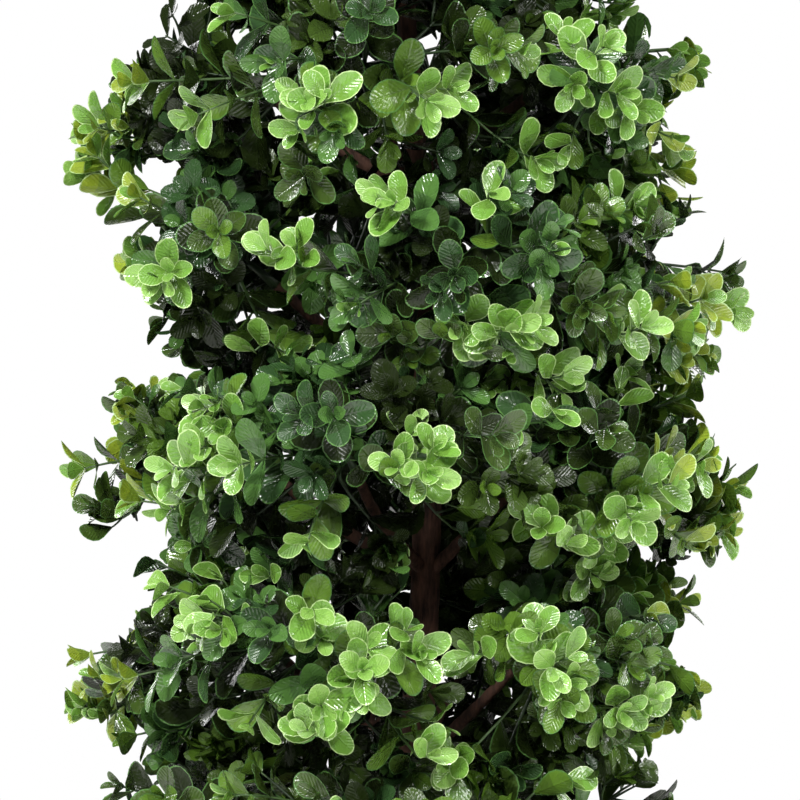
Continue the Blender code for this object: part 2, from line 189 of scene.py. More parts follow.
# Openings in the front of the crown that show the trunk or a bough: the (x, z) of the opening,
# the point on the stem that it leads to, and its radius
WINDOWS = metres(
    (20, 398, 13, 3, 398, 13), (22, 420, 13, 3, 420, 13), (-10, 446, -12, -40, 434, 11),
    (44, 338, 35, -21, 336, 13), (58, 346, 48, -30, 346, 11),
)
WINDOW_FRONT = -0.19

# Dark sprays behind the trunk that close the backs of the openings, their darkest greens painted shade,
# by the (x, z) of their tips
SHADE_SPRAYS = metres(
    (32, 386), (41, 396), (4, 399), (34, 411), (46, 423), (-6, 418), (24, 436), (56, 336), (36, 322),
    (-22, 448),
)
SHADE_BACK = 0.052

# Where the sky shows between the sprays at the sides: (x, z, radius) of passages that run along Y
SKY_PASSAGES = metres(
    (-144, 537, 18), (-155, 676, 21), (-146, 698, 10), (148, 636, 13), (147, 369, 12), (-160, 386, 15),
    (-138, 396, 12), (151, 574, 12), (161, 488, 10), (-159, 483, 9), (-121, 606, 9), (136, 566, 9),
    (150, 291, 10), (119, 291, 9), (-141, 419, 12), (-128, 680, 10), (-131, 511, 10), (132, 673, 8),
    (-124, 427, 8), (-152, 574, 8), (165, 471, 7), (-144, 380, 7), (103, 695, 7), (-155, 321, 10),
    (-163, 592, 8), (100, 291, 9),
)

# Single sprays that reach out between the lobes at the sides, by the (x, z) of their tips
SIDE_SPRAYS = metres(
    (-158, 606), (-134, 614), (-132, 494), (-150, 342), (-146, 438), (138, 610), (148, 513), (112, 401),
    (156, 430), (138, 341), (112, 320), (144, 657), (160, 435), (122, 396), (-155, 628), (-158, 336),
    (144, 348), (134, 388), (126, 637), (138, 494), (-118, 534),
)
SIDE_SPRAY_REACH = 0.182

# The pot's rim band, wall, the step under the band and the band's draft
BAND = 0.024
WALL = 0.0035
STEP = 0.0035
BAND_DRAFT = 0.00175

# Crumbs on the fill: least and greatest size, and the share of them that are pale chips
CRUMB_SIZES = (0.0018, 0.0048)
CHIP_SHARE = 0.3

# How fine the shapes are: points along stems, sides round them, and steps in a turn of the fill
SHOOT_POINTS = 7
SIDE_POINTS = 6
TWIG_SIDES = 4
TRUNK_RINGS = 190
TRUNK_SIDES = 26
BOUGH_POINTS = 44
BOUGH_SIDES = 12
FILL_STEPS = 120

# Stage: each light's place, side length and watts, the floor, and the width of the camera's film in mm
LAMPS = {
    "key light": ((-1.3, -2.2, 2.1), 0.6, 112),
    "front light": ((0.7, -2.6, 1.6), 0.4, 33),
    "side light": ((2.2, -1.1, 0.9), 0.7, 24),
    "top light": ((0.1, -0.2, 2.6), 1.0, 34),
    "back light left": ((-1.6, 1.5, 1.2), 0.8, 22),
    "back light right": ((1.7, 1.4, 1.2), 0.8, 22),
}
FLOOR_RADIUS = 1.6
SENSOR = 36


def linear(code):
    """The linear red, green and blue of an sRGB hex colour."""
    parts = [int(code[i:i + 2], 16) / 255 for i in (1, 3, 5)]
    return [p / 12.92 if p <= 0.04045 else ((p + 0.055) / 1.055) ** 2.4 for p in parts]


def length(name, description, default):
    """A property that holds a size."""
    return bpy.props.FloatProperty(
        name=name, description=description, default=default, min=0, subtype="DISTANCE", unit="LENGTH",
    )


def share(name, description, default):
    """A property that holds a share of some size."""
    return bpy.props.FloatProperty(
        name=name, description=description, default=default, min=0, max=1, subtype="FACTOR",
    )


def angle(name, description, degrees):
    """A property that holds an angle."""
    turn = math.radians(degrees)
    return bpy.props.FloatProperty(
        name=name, description=description, default=turn, subtype="ANGLE", unit="ROTATION",
    )


def colour(name, description, code):
    """A property that holds a base colour."""
    return bpy.props.FloatVectorProperty(
        name=name, description=description, default=linear(code), min=0, max=1, size=3, subtype="COLOR",
    )


class LeafSettings(bpy.types.PropertyGroup):
    size: length("Leaf length", "Length of a full-grown leaf", 0.0212)
    width: share("Leaf width", "Width as a share of the length", 0.62)
    cup: share("Cup", "How far the edges rise, as a share of the length", 0.085)
    recurve: share("Recurve", "How far the tip falls back, as a share of the length", 0.08)
    pitch: length("Pitch of pairs", "Stretch of twig between two pairs of leaves", 0.0120)
    spread: angle("Spread", "Angle between a full-grown leaf and its twig", 59)
    lime: colour("Lime", "Youngest leaves", "#82AC4F")
    spring: colour("Spring green", "Young leaves", "#6B983B")
    mid: colour("Mid green", "Grown leaves", "#567627")
    deep: colour("Deep green", "Old leaves", "#3A4F1D")
    # Dark green is painted shade: the near-black of leaves deep in the crown, where little light reaches
    dark: colour("Dark green", "Leaves deep in the crown", "#1C270C")
    # Backlit olive is painted light: the yellow glow of light shining through young leaves at the crown's
    # sides
    olive: colour("Olive", "Young leaves at the sides of the crown", "#869A2C")
    cool_mid: colour("Cool mid green", "Grown leaves of the cooler sprays", "#4B7033")
    cool_deep: colour("Cool deep green", "Old leaves of the cooler sprays", "#2E4926")
    # The rims are partly the moulding's pale edge and partly a painted highlight along the curled edge
    young_rim_and_edge_sheen: colour("Young rim", "Pale rim of a young leaf", "#B0CC88")
    old_rim_and_edge_sheen: colour("Old rim", "Rim of an old leaf", "#4E743A")


class TwigSettings(bpy.types.PropertyGroup):
    shoot_radius: length("Shoot radius", "Radius of a main shoot at its foot", 0.0012)
    side_radius: length("Side twig radius", "Radius of a side twig at its foot", 0.0008)
    tip_radius: length("Tip radius", "Radius of a twig at its tip", 0.0005)
    side_length: length("Side twig length", "Length of a spray's lowest side twigs", 0.030)
    fork_angle: angle("Fork angle", "Angle at which a side twig leaves its shoot", 42)
    stem: colour("Old stem", "Moulded stem near the boughs", "#26391C")
    young: colour("Young stem", "Moulded stem near the tips", "#3A5326")


class BarkSettings(bpy.types.PropertyGroup):
    relief: length("Relief", "Depth of the fissures in the trunk's bark", 0.0009)
    wrap: length("Wrap", "Height of the ridges of the wrapping on the boughs", 0.00035)
    pitch: length("Wrap pitch", "Stretch of bough between two turns of the wrapping", 0.007)
    ridge: colour("Ridge", "Worn ridges of the bark", "#5A3E31")
    furrow: colour("Furrow", "Fissures of the bark", "#1B0F0B")


class PotSettings(bpy.types.PropertyGroup):
    steps: bpy.props.IntProperty(name="Steps", description="Steps in a turn", default=96, min=24)
    rounding: length("Rounding", "Radius of the moulded edges", 0.0012)
    crumbs: bpy.props.IntProperty(name="Crumbs", description="Crumbs on the fill", default=900, min=0)
    plastic: colour("Plastic", "Moulded plastic of the pot", "#262727")
    soil: colour("Fill", "Potting fill", "#33241A")
    chip: colour("Chip", "Pale chips in the fill", "#6A4C33")


class StageSettings(bpy.types.PropertyGroup):
    height: length("Camera height", "Height of the level camera", 0.4928)
    distance: length("Camera distance", "From the trunk to the camera", 3.0)
    framed: length("Framed height", "What the picture's side spans at the trunk", 0.404)
    ambient: share("Ambient", "Strength of the light from all round", 0.105)
    floor: colour("Floor", "Pale floor", "#E9E8E5")


class BoxwoodSettings(bpy.types.PropertyGroup):
    leaf: bpy.props.PointerProperty(type=LeafSettings, name="Leaves")
    twig: bpy.props.PointerProperty(type=TwigSettings, name="Twigs")
    bark: bpy.props.PointerProperty(type=BarkSettings, name="Bark")
    pot: bpy.props.PointerProperty(type=PotSettings, name="Pot")
    stage: bpy.props.PointerProperty(type=StageSettings, name="Stage")


# Materials


def feed(node, sockets):
    """Gives inputs, by name or number, their value, or links them to the node that feeds them."""
    for socket, value in sockets.items():
        if isinstance(value, bpy.types.Node):
            value = value.outputs[0]
        if isinstance(value, bpy.types.NodeSocket):
            node.id_data.links.new(value, node.inputs[socket])
        else:
            node.inputs[socket].default_value = value


def add_node(tree, kind, sockets, **settings):
    """Adds a shader node with its settings, and the values and links of its inputs."""
    made = tree.nodes.new("ShaderNode" + kind)
    for name, value in settings.items():
        setattr(made, name, value)
    feed(made, sockets)
    return made


def new_material(name, base, roughness, ior=1.5, specular=0.5):
    """A material, its tree, its shader, with what is the same all over, and the place on the object."""
    made = bpy.data.materials.new(name)
    made.use_nodes = True
    tree = made.node_tree
    shader = tree.nodes["Principled BSDF"]
    feed(shader, {"Base Color": (*base, 1), "Roughness": roughness})
    feed(shader, {"IOR": ior, "Specular IOR Level": specular})
    return made, tree, shader, add_node(tree, "TexCoord", {}).outputs["Object"]


def leaf_plastic(name, base, roughness, specular):
    """Polyethylene leaf, injection-moulded: a waxy sheen that the midrib and side veins break up."""
    made, tree, shader, place = new_material(name, base, roughness, 1.51, specular)
    parts = add_node(tree, "SeparateXYZ", {0: place.node.outputs["UV"]})
    middle = add_node(tree, "Math", {0: parts.outputs["Y"], 1: 0.5}, operation="SUBTRACT")
    side = add_node(tree, "Math", {0: middle}, operation="ABSOLUTE")
    # Side veins 2.2 mm apart on a 20 mm leaf, which run forward from the midrib
    along = add_node(tree, "Math", {0: parts.outputs["X"], 1: 9.0}, operation="MULTIPLY")
    forward = add_node(tree, "Math", {0: side, 1: -6.5, 2: along}, operation="MULTIPLY_ADD")
    phase = add_node(tree, "Math", {0: forward, 1: math.tau}, operation="MULTIPLY")
    veins = add_node(tree, "Math", {0: phase}, operation="SINE")
    # The midrib is a groove about 1 mm wide.
    rib = add_node(
        tree, "MapRange", {0: side, 1: 0.0, 2: 0.06, 3: -2.2, 4: 0.0}, interpolation_type="SMOOTHSTEP",
    )
    # Rubbed and matt places about 5 mm across, where the veins are worn flat
    patches = add_node(tree, "TexNoise", {"Vector": place, "Scale": 200.0})
    crisp = add_node(tree, "MapRange", {0: patches, 1: 0.40, 2: 0.62, 3: 0.2, 4: 1.0})
    height = add_node(tree, "Math", {0: veins, 1: crisp, 2: rib}, operation="MULTIPLY_ADD")
    # The skin is slightly puckered, about every 3 mm, which breaks the sheen into glints.
    pucker = add_node(tree, "TexNoise", {"Vector": place, "Scale": 330.0, "Detail": 2.0})
    skin = add_node(tree, "Math", {0: pucker, 1: 5.0, 2: height}, operation="MULTIPLY_ADD")
    bump = add_node(tree, "Bump", {"Strength": 0.62, "Distance": 0.00016, "Height": skin})
    worn = {3: roughness - 0.05, 4: roughness + 0.12}
    gloss = add_node(tree, "MapRange", {0: patches, 1: 0.3, 2: 0.7, **worn})
    feed(shader, {"Normal": bump, "Roughness": gloss})
    return made


def stem_plastic(name, base):
    """Polyethylene stem, injection-moulded: duller than the leaves, with a slightly uneven skin."""
    made, tree, shader, place = new_material(name, base, 0.5)
    # Dips and rises about 1.1 mm across, which also dull the gloss
    skin = add_node(tree, "TexNoise", {"Vector": place, "Scale": 900.0, "Detail": 3.0})
    bump = add_node(tree, "Bump", {"Strength": 0.5, "Distance": 0.0002, "Height": skin})
    gloss = add_node(tree, "MapRange", {0: skin, 1: 0.3, 2: 0.7, 3: 0.4, 4: 0.6})
    feed(shader, {"Normal": bump, "Roughness": gloss})
    return made


def wrapped_bark(name, ridge, furrow):
    """Paper-wrapped and stained stem: matt, red-brown, with dark furrows and worn pale ridges."""
    made, tree, shader, place = new_material(name, ridge, 0.82, specular=0.25)
    # Streaks about 2 mm wide and five times as long, upright as the fibres are
    long = add_node(tree, "Mapping", {0: place, 3: (1.0, 1.0, 0.2)})
    fibres = add_node(tree, "TexNoise", {"Vector": long, "Scale": 450.0, "Detail": 5.0, "Roughness": 0.65})
    # Stains about 17 mm across
    stain = add_node(tree, "TexNoise", {"Vector": place, "Scale": 60.0, "Detail": 2.0})
    both = add_node(tree, "Math", {0: stain, 1: 0.5, 2: fibres}, operation="MULTIPLY_ADD")
    tint = add_node(tree, "MapRange", {0: both, 1: 0.55, 2: 0.95, 3: 0.0, 4: 1.0})
    mix = add_node(tree, "Mix", {0: tint, 6: (*furrow, 1), 7: (*ridge, 1)}, data_type="RGBA")
    bump = add_node(tree, "Bump", {"Strength": 0.8, "Distance": 0.0006, "Height": fibres})
    feed(shader, {"Base Color": mix.outputs[2], "Normal": bump})
    return made


def pot_plastic(base):
    """Polypropylene pot, injection-moulded: near black, satin, with a fine grain and faint scuffs."""
    made, tree, shader, place = new_material("moulded polypropylene", base, 0.42, ior=1.49)
    # Spark-eroded grain is about 0.1 mm; drawn at 0.6 mm, so that it shows
    grain = add_node(tree, "TexNoise", {"Vector": place, "Scale": 1600.0, "Detail": 2.0})
    # Scuffs about 22 mm across
    scuffs = add_node(tree, "TexNoise", {"Vector": place, "Scale": 45.0, "Detail": 6.0})
    bump = add_node(tree, "Bump", {"Strength": 0.3, "Distance": 0.0002, "Height": grain})
    gloss = add_node(tree, "MapRange", {0: scuffs, 1: 0.35, 2: 0.65, 3: 0.36, 4: 0.54})
    feed(shader, {"Normal": bump, "Roughness": gloss})
    return made


def fill_mix(name, dark, pale):
    """Potting fill, loose and dry: matt, dark, flecked with paler fibre and grit of 2 to 4 mm."""
    made, tree, shader, place = new_material(name, dark, 0.95, specular=0.15)
    # Flecks about 3 mm across, and a relief of crumbs of 2 mm
    flecks = add_node(tree, "TexVoronoi", {"Vector": place, "Scale": 330.0})
    crumbs = add_node(tree, "TexNoise", {"Vector": place, "Scale": 500.0, "Detail": 4.0})
    tone = add_node(tree, "SeparateColor", {0: flecks.outputs["Color"]})
    tint = add_node(tree, "MapRange", {0: tone, 1: 0.55, 2: 1.0, 3: 0.0, 4: 0.7})
    mix = add_node(tree, "Mix", {0: tint, 6: (*dark, 1), 7: (*pale, 1)}, data_type="RGBA")
    bump = add_node(tree, "Bump", {"Strength": 0.9, "Distance": 0.0012, "Height": crumbs})
    feed(shader, {"Base Color": mix.outputs[2], "Normal": bump})
    return made


def floor_paint(base):
    """Floor painted a pale matt grey: even, with a faint roller texture."""
    made, tree, shader, place = new_material("rolled matt paint", base, 0.8, specular=0.3)
    # The texture of a short roller, about 3 mm
    roller = add_node(tree, "TexNoise", {"Vector": place, "Scale": 330.0})
    bump = add_node(tree, "Bump", {"Strength": 0.1, "Distance": 0.0003, "Height": roller})
    feed(shader, {"Normal": bump})
    return made


# The rule of the solids, which the finer twigs and leaves grow on from


def between(a, b, share):
    """The value at this share of the way from a to b."""
    return a + (b - a) * share


def around(angle, radius, height):
    """The point at this angle and radius about Z."""
    return Vector((radius * math.cos(angle), radius * math.sin(angle), height))


def angle_of(point):
    """The point's angle about Z."""
    return math.atan2(point.y, point.x)


def radius_of(point):
    """The point's distance from Z."""
    return math.hypot(point.x, point.y)


def even_shares(count):
    """Shares from 0 to 1, evenly spaced."""
    return [i / (count - 1) for i in range(count)]


def curve_points(start, bend, end, count):
    """Points on the quadratic curve that leaves start towards bend and arrives at end."""
    return [start * (1 - t) ** 2 + bend * 2 * t * (1 - t) + end * t**2 for t in even_shares(count)]


def up_trunk(height):
    """The share of the trunk below this height."""
    return (height - FILL_TOP) / (TRUNK_TOP - FILL_TOP)


def trunk_middle(height):
    """The trunk's centreline: level at its foot, with one lean and one small counter-bend."""
    lean = TRUNK_SWAY * math.sin(math.pi * up_trunk(height)) ** 2
    counter = 0.45 * TRUNK_SWAY * math.sin(math.tau * up_trunk(height))
    return Vector((lean, counter, height))


def trunk_radius(height):
    """The trunk's radius, with its flare on the fill."""
    flare = TRUNK_FLARE * math.exp(-(height - FILL_TOP) / TRUNK_FLARE_HEIGHT)
    return between(TRUNK_FOOT_RADIUS, TRUNK_TIP_RADIUS, up_trunk(height)) + flare


def edge_height(ring, angle):
    """The height of the edge under a ring, which waves on its way round and is low on the right."""
    level = FIRST_RING + (ring - 0.5) * RING_PITCH
    wave = math.sin(3 * angle + 2.4 * ring) + 0.4 * math.sin(5 * angle + ring)
    return level + RING_WAVE * wave - RING_TILT * math.cos(angle)


def to_side(left, right, angle):
    """The value at this angle, which passes evenly from the left side's to the right side's."""
    return (right + left) / 2 + (right - left) / 2 * math.cos(angle)


def in_hollow(point):
    """True in the hollow of the solids, low on the right of the front."""
    return (point - around(HOLLOW_ANGLE, HOLLOW_RADIUS, HOLLOW_HEIGHT)).length < HOLLOW_SIZE


def in_window(point):
    """True in an opening that shows the trunk or a bough."""
    for x, z, *foot, radius in WINDOWS:
        nearest, share = intersect_point_line(point, Vector((x, WINDOW_FRONT, z)), Vector(foot))
        if 0 < share < 1 and (point - nearest).length < radius:
            return True
    return False


def in_passage(point):
    """True if the sky shows at this point of the crown's side."""
    return any(math.hypot(point.x - x, point.z - z) < radius for x, z, radius in SKY_PASSAGES)


def in_open_air(point):
    """True in the room that a free spray has beside the lobes."""
    return radius_of(point) < SIDE_SPRAY_REACH


def depths_of(i, deep):
    """The least and greatest depth of the tip of further shoot i."""
    return (DEEPER_DEPTHS if deep else OUTER_DEPTHS)[i % 3]


def further_tips(mass, tips):
    """Tips of further shoots, each far from those before it, and whether it is a deeper one."""
    outer, deeper = mass.further_shoots()
    for i in range(outer + deeper):
        deep = i >= outer
        tried = [mass.further_tip(i, deep) for _ in range(TRIES)]
        tips.append(max(tried, key=lambda point: min((point - tip).length for tip in tips)))
        yield tips[-1], deep


class Mass:
    """One mass of foliage in a ring, with the main shoots that the solids have."""

    half_angle = math.pi / MASSES_IN_RING
    # Leaves of neighbouring masses interleave by this much.
    interleave = 0.014

    def __init__(self, ring, number):
        self.ring = ring
        self.name = f"{ring + 1}_{'abcd'[number]}"
        self.angle = math.radians(RING_TURNS[ring]) + number * 2 * self.half_angle
        self.height = FIRST_RING + ring * RING_PITCH
        self.shoots = SHOOTS + number % 2
        self.rule = random.Random(f"mass {self.name}")
        self.finer = random.Random(f"finer {self.name}")

    def levels(self, angle):
        """The lowest and highest height of this mass's space at this angle."""
        return edge_height(self.ring, angle), edge_height(self.ring + 1, angle)

    def off(self, angle):
        """How far this angle is from the mass's middle."""
        return abs((angle - self.angle + math.pi) % math.tau - math.pi)

    def reach(self, angle, height):
        """How far the ring reaches at this angle and height: a lobe with a notch above and below."""
        widest = to_side(LEFT_REACH[self.ring], RIGHT_REACH[self.ring], angle)
        floor, roof = self.levels(angle)
        above = (2 * height - floor - roof) / (roof - floor)
        edge = self.ring + (above > 0)
        notch = to_side(LEFT_NOTCH[edge], RIGHT_NOTCH[edge], angle)
        return widest * (1 - notch * min(abs(above) ** 3, 1.1))

    def owns(self, point):
        """True if the point is in this mass's space."""
        floor, roof = self.levels(angle_of(point))
        return floor < point.z < roof and self.off(angle_of(point)) < self.half_angle

    def holds(self, point):
        """True if the point is in this mass's space, or so near it that its leaf interleaves."""
        radius = radius_of(point)
        angle = angle_of(point)
        floor, roof = self.levels(angle)
        return (
            floor - self.interleave < point.z < roof + self.interleave
            and radius * math.sin(self.off(angle) - self.half_angle) < self.interleave
            and INNER_RADIUS * 0.6 < radius < self.reach(angle, point.z)
            and not in_hollow(point)
            and not in_window(point)
        )

    def bough_path(self):
        """From inside the trunk, up and out to where the mass begins."""
        lift = BOUGH_STAGGER * (self.rule.random() - 0.5)
        end = around(self.angle, BOUGH_END_RADIUS, self.height - BOUGH_DROP)
        start = trunk_middle(end.z - BOUGH_RISE + lift)
        bend = around(self.angle, BOUGH_END_RADIUS * 0.62, between(start.z, end.z, 0.52))
        return curve_points(start, bend, end, len(BOUGH_RADII))

    def foot(self):
        """Where the mass begins, and the direction of the bough there."""
        path = self.bough_path()
        return path[-1], (path[-1] - path[-2]).normalized()

    def targets(self):
        """The main shoots' tips, spread evenly over the lobe's outer side."""
        for i in range(self.shoots):
            across = (0.5 + i * GOLDEN_SHARE) % 1 * 2 - 1
            angle = self.angle + across * 0.80 * self.half_angle
            floor, roof = self.levels(angle)
            height = between(floor, roof, between(0.12, 0.88, (i + 0.5) / self.shoots))
            height += self.rule.uniform(-0.004, 0.004)
            yield around(angle, self.reach(angle, height) - LEAF_BEYOND_TIP, height)

    def further_shoots(self):
        """How many outer and deeper shoots there are besides the main ones."""
        return round(to_side(*OUTER_SHOOTS, self.angle)), DEEPER_SHOOTS[math.sin(self.angle) > 0]

    def further_tip(self, i, deep):
        """A place for the tip of further shoot i."""
        beyond = 0.10 if deep else 0.03
        angle = self.angle + self.finer.uniform(-1, 1) * self.half_angle
        floor, roof = self.levels(angle)
        height = between(floor, roof, self.finer.uniform(-beyond, 1 + beyond))
        depth = self.finer.uniform(*depths_of(i, deep))
        return around(angle, max(self.reach(angle, height) - depth, INNER_RADIUS + 0.012), height)


class TopTuft:
    """The dome of foliage on the trunk's tip."""

    name = "top"

    def __init__(self):
        self.rule = random.Random("mass top")
        self.finer = random.Random("finer top")

    def owns(self, point):
        """True if the point is above the last ring."""
        return point.z > edge_height(RINGS, angle_of(point))

    def holds(self, point):
        """True if the point is inside the dome and above the last ring, or a little below its edge."""
        side = radius_of(point) / TOP_RADIUS
        above = (point.z - TOP_MIDDLE) / TOP_HEIGHT
        floor = edge_height(RINGS, angle_of(point)) - Mass.interleave
        return side**2 + max(above, 0) ** 2 < 1 and point.z > floor

    def foot(self):
        """Where the tuft begins, and the direction of the trunk there."""
        return trunk_middle(TRUNK_TOP), UP.copy()

    def dome_point(self, angle, up, depth):
        """The point at this angle and share of the dome's height, this deep under its skin."""
        side = (TOP_RADIUS - depth) * math.sqrt(1 - up**2)
        return around(angle, side, TOP_MIDDLE + (TOP_HEIGHT - depth) * up)

    def targets(self):
        """The main shoots' tips, on a spiral over the dome."""
        for i in range(TOP_SHOOTS):
            angle = i * GOLDEN_ANGLE + self.rule.uniform(-0.2, 0.2)
            yield self.dome_point(angle, (i + 0.3) / TOP_SHOOTS, LEAF_BEYOND_TIP)

    def further_shoots(self):
        """How many outer and deeper shoots there are besides the main ones."""
        return TOP_FURTHER_SHOOTS

    def further_tip(self, i, deep):
        """A place for the tip of further shoot i."""
        up = self.finer.uniform(-0.12, 1)
        angle = self.finer.uniform(0, math.tau)
        return self.dome_point(angle, up, self.finer.uniform(*depths_of(i, deep)))


# Sprays: shoots, their side twigs and the leaves on them


class Twig:
    """A stem along a smooth path, with the age of what grows on it: 0 for the youngest.

    A hidden one is deep in the crown, and its leaves have fewer faces. Fullness is the share of a
    shoot's side twigs that it has, a cool one has the cooler of its age's greens, and a free one may
    leave its mass's space. Each has a seed of its own for what grows on it.
    """

    fullness = PLACED_FULLNESS
    cool = False
    free = False
    seed = 0.0

    def __init__(self, path, radii, age, bare, grown=1.0, hidden=False):
        self.hidden = hidden
        self.path = path
        self.radii = radii
        self.age = age
        self.bare = bare
        self.grown = grown
        self.length = sum((b - a).length for a, b in zip(path, path[1:]))

    def at(self, share):
        """The point and the direction at this share of the path."""
        place = min(max(share, 0) * (len(self.path) - 1), len(self.path) - 1.001)
        i = int(place)
        way = self.path[i + 1] - self.path[i]
        return self.path[i] + way * (place - i), way.normalized()


def arching(start, start_way, end, end_way, count):
    """Points on the curve that leaves start along start_way and arrives at end along end_way."""
    pull = (end - start).length / 3
    a = start + start_way * pull
    b = end - end_way * pull
    return [
        start * (1 - t) ** 3 + a * 3 * t * (1 - t) ** 2 + b * 3 * t**2 * (1 - t) + end * t**3
        for t in even_shares(count)
    ]


def side_at(way, turn):
    """A direction square to way, at this turn about it."""
    side = way.orthogonal().normalized()
    side.rotate(Matrix.Rotation(turn, 3, way))
    return side


def outwards(point, rise):
    """The direction from the trunk to the point, raised by this share."""
    return Vector((point.x, point.y, rise * radius_of(point))).normalized()


def fullness_at(tip, deep):
    """The share of its side twigs that a shoot with this tip has."""
    return to_side(*(DEEPER_FULLNESS if deep else OUTER_FULLNESS), angle_of(tip))


def age_of_spray(deep, rule):
    """How old a spray is: a third of the outer ones are young; those deeper in are made older, so that
    their darker greens paint shade into the crown's depth.
    """
    age = rule.choice(SPRAY_AGES) + rule.uniform(0, 0.4)
    return age + DEEPER_SHADE_AGE if deep else age


def side_twig(shoot, path, settings, rule):
    """The side twig on this path, about as old as its shoot."""
    radii = (settings.side_radius, settings.tip_radius)
    age = shoot.age + rule.uniform(-0.15, 0.7)
    twig = Twig(path, radii, age, SIDE_BARE, rule.uniform(0.85, 1.0), shoot.hidden)
    twig.cool = shoot.cool
    twig.free = shoot.free
    twig.seed = rule.random()
    return twig


def spray_twigs(mass, shoot, settings, rule):
    """A shoot and the side twigs that fork from it in crossed pairs."""
    twigs = [shoot]
    shoot.seed = rule.random()
    turn = rule.uniform(0, math.tau)
    for share, size in FORKS:
        place, way = shoot.at(share)
        for half_turn in (0, math.pi):
            if rule.random() > shoot.fullness:
                continue
            side = side_at(way, turn + half_turn + rule.uniform(-0.3, 0.3))
            fork = settings.fork_angle * rule.uniform(0.85, 1.2)
            leave = way * math.cos(fork) + side * math.sin(fork)
            settle = (leave + outwards(place, 0.25) * 0.7).normalized()
            run = settings.side_length * size * rule.uniform(0.75, 1.25)
            for shorter in (1.0, 0.75):
                end = place + (leave * 0.55 + settle * 0.45) * run * shorter
                path = arching(place, leave, end, settle, SIDE_POINTS)
                if shoot.free or all(mass.holds(point) for point in path[2:]):
                    twigs.append(side_twig(shoot, path, settings, rule))
                    break
        turn += math.pi / 2
    return twigs


def leaves_on(twig, settings, rule):
    """(place, way, turn, length, spread, age) of the leaves: a tip rosette, then crossed pairs."""
    turn = rule.uniform(0, math.tau)
    size = settings.size * twig.grown
    for back, grown, spread, older in ROSETTE:
        place, way = twig.at(1 - back / twig.length)
        for half_turn in (0, math.pi):
            yield (
                place, way, turn + half_turn + rule.uniform(-0.15, 0.15),
                size * grown * rule.uniform(0.90, 1.12),
                math.radians(spread) + rule.uniform(-0.14, 0.14), twig.age + older,
            )
        turn += math.pi / 2 + rule.uniform(-0.12, 0.12)
    back = ROSETTE[-1][0] + settings.pitch * 0.6
    older = FIRST_PAIR_AGE
    while back < twig.length * (1 - twig.bare):
        place, way = twig.at(1 - back / twig.length)
        # Older leaves are larger.
        grown = min(0.92 + 0.12 * older, 1.28)
        for half_turn in (0, math.pi):
            yield (
                place, way, turn + half_turn + rule.uniform(-0.2, 0.2),
                size * grown * rule.uniform(0.88, 1.12),
                settings.spread + rule.uniform(-0.2, 0.2), twig.age + older,
            )
        turn += math.pi / 2 + rule.uniform(-0.15, 0.15)
        back += settings.pitch * rule.uniform(0.85, 1.2)
        older += PAIR_AGE


def array_mesh(name, points, faces, slots, materials):
    """A mesh from arrays of points, its faces and the material slot of each face."""
    mesh = bpy.data.meshes.new(name)
    mesh.from_pydata(np.concatenate(points), [], faces)
    for surface in materials:
        mesh.materials.append(surface)
    mesh.polygons.foreach_set("material_index", slots)
    return mesh


class Bundle:
    """Gathers the leaves or twigs of one ring, to be joined into one mesh from arrays."""

    def __init__(self):
        self.points = []
        self.quads = []
        self.slots = []
        self.uvs = []
        self.count = 0

    def add(self, points, template, slots):
        """Adds a template whose points have been moved to these."""
        self.points.append(points)
        self.quads.append(template.quads + self.count)
        self.slots.append(slots)
        self.uvs.append(template.uvs)
        self.count += len(points)

    def mesh(self, name, materials):
        """All that was added, as one mesh."""
        quads = np.concatenate(self.quads)
        made = array_mesh(name, self.points, quads, np.concatenate(self.slots), materials)
        layer = made.uv_layers.new(name="along_and_across")
        layer.data.foreach_set("uv", np.concatenate(self.uvs).ravel())
        made.shade_smooth()
        return made


class Template:
    """A small mesh of quads as arrays, with its UVs and a mark on each face: 1 rim, 2 heart, 0 the rest.

    The heart, at the foot of the blade, is painted shade.
    """

    def __init__(self, bm, uv_at, rim_faces=(), shaded_heart_faces=()):
        bm.verts.index_update()
        self.points = np.array([v.co for v in bm.verts])
        self.quads = np.array([[v.index for v in face.verts] for face in bm.faces])
        self.marks = np.array([(face in rim_faces) + 2 * (face in shaded_heart_faces) for face in bm.faces])
        self.uvs = np.array([uv_at(v.co) for face in bm.faces for v in face.verts])
        bm.free()


def half_width(along):
    """Half a leaf's outline at this share of its length: a wedge at its foot, round at its tip."""
    if along < LEAF_WIDEST:
        return 0.09 + 0.91 * math.sin(math.pi / 2 * along / LEAF_WIDEST) ** 1.2
    return math.sqrt(max(1 - ((along - LEAF_WIDEST) / (1 - LEAF_WIDEST)) ** 2, 0))


